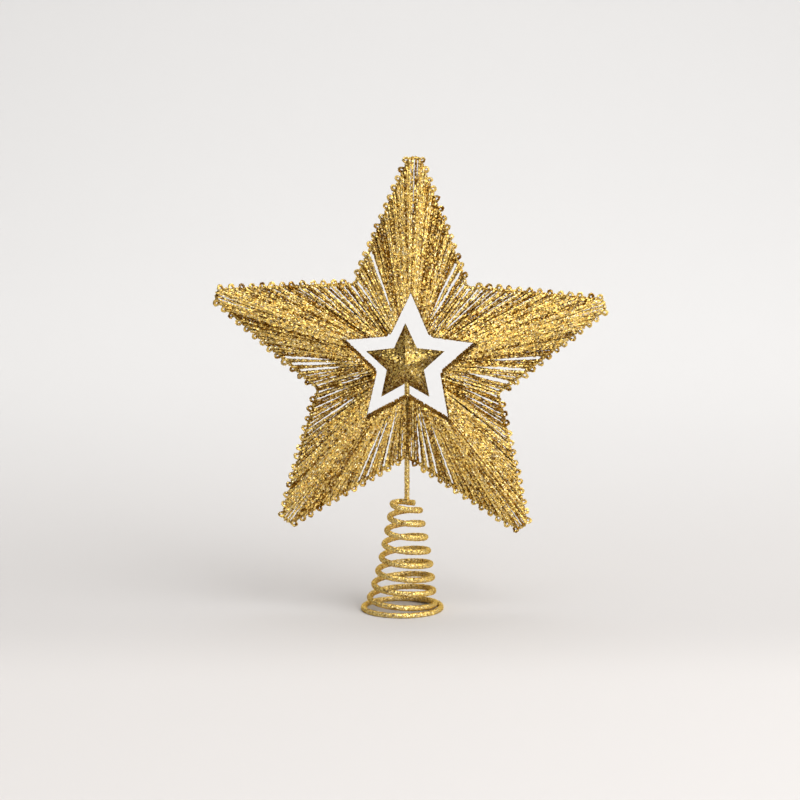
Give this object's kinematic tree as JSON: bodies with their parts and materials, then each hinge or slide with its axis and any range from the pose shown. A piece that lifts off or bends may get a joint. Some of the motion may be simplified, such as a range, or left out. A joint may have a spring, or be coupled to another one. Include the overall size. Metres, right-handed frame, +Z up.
{
  "type": "tree topper star",
  "caption": "Gold wire star with wound arms, a star-shaped opening and a faceted centre star, on a stem and a conical coil that slips over a tree's top twig.",
  "frame": {"origin": "on the floor, under the neck of the conical coil and in line with the stem from the front", "axes": "+Z up along the coil and stem, the star faces -Y, +X to the right seen from the front"},
  "size_m": [0.2124, 0.0473, 0.2466],
  "materials": {
    "gold_coil": "steel wire coated with fine gold glitter",
    "gold_frame": "steel wire coated with fine gold glitter",
    "gold_strand": "thin wire coated with coarse gold glitter",
    "gold_star_shell": "moulded shell coated with fine gold glitter"
  },
  "bodies": {
    "foot": {"base_coil": "gold_coil"},
    "head": {"stem": "gold_coil", "outer_frame": "gold_frame", "front_opening_frame": "gold_frame", "rear_opening_frame": "gold_frame", "top_arm_left_winding": "gold_strand", "top_arm_right_winding": "gold_strand", "right_arm_upper_winding": "gold_strand", "right_arm_lower_winding": "gold_strand", "lower_right_arm_outer_winding": "gold_strand", "lower_right_arm_inner_winding": "gold_strand", "lower_left_arm_inner_winding": "gold_strand", "lower_left_arm_outer_winding": "gold_strand", "left_arm_lower_winding": "gold_strand", "left_arm_upper_winding": "gold_strand", "centre_star_front": "gold_star_shell", "centre_star_rear": "gold_star_shell"}
  },
  "joints": [
    {"name": "coil_squeeze", "type": "slide", "parent": "foot", "child": "head", "axis": [0, 0, 1], "range_m": [-0.012, 0.008], "stiffness_N_per_m": 1800, "springref_m": 0.0003, "deforming": ["base_coil"]}
  ]
}
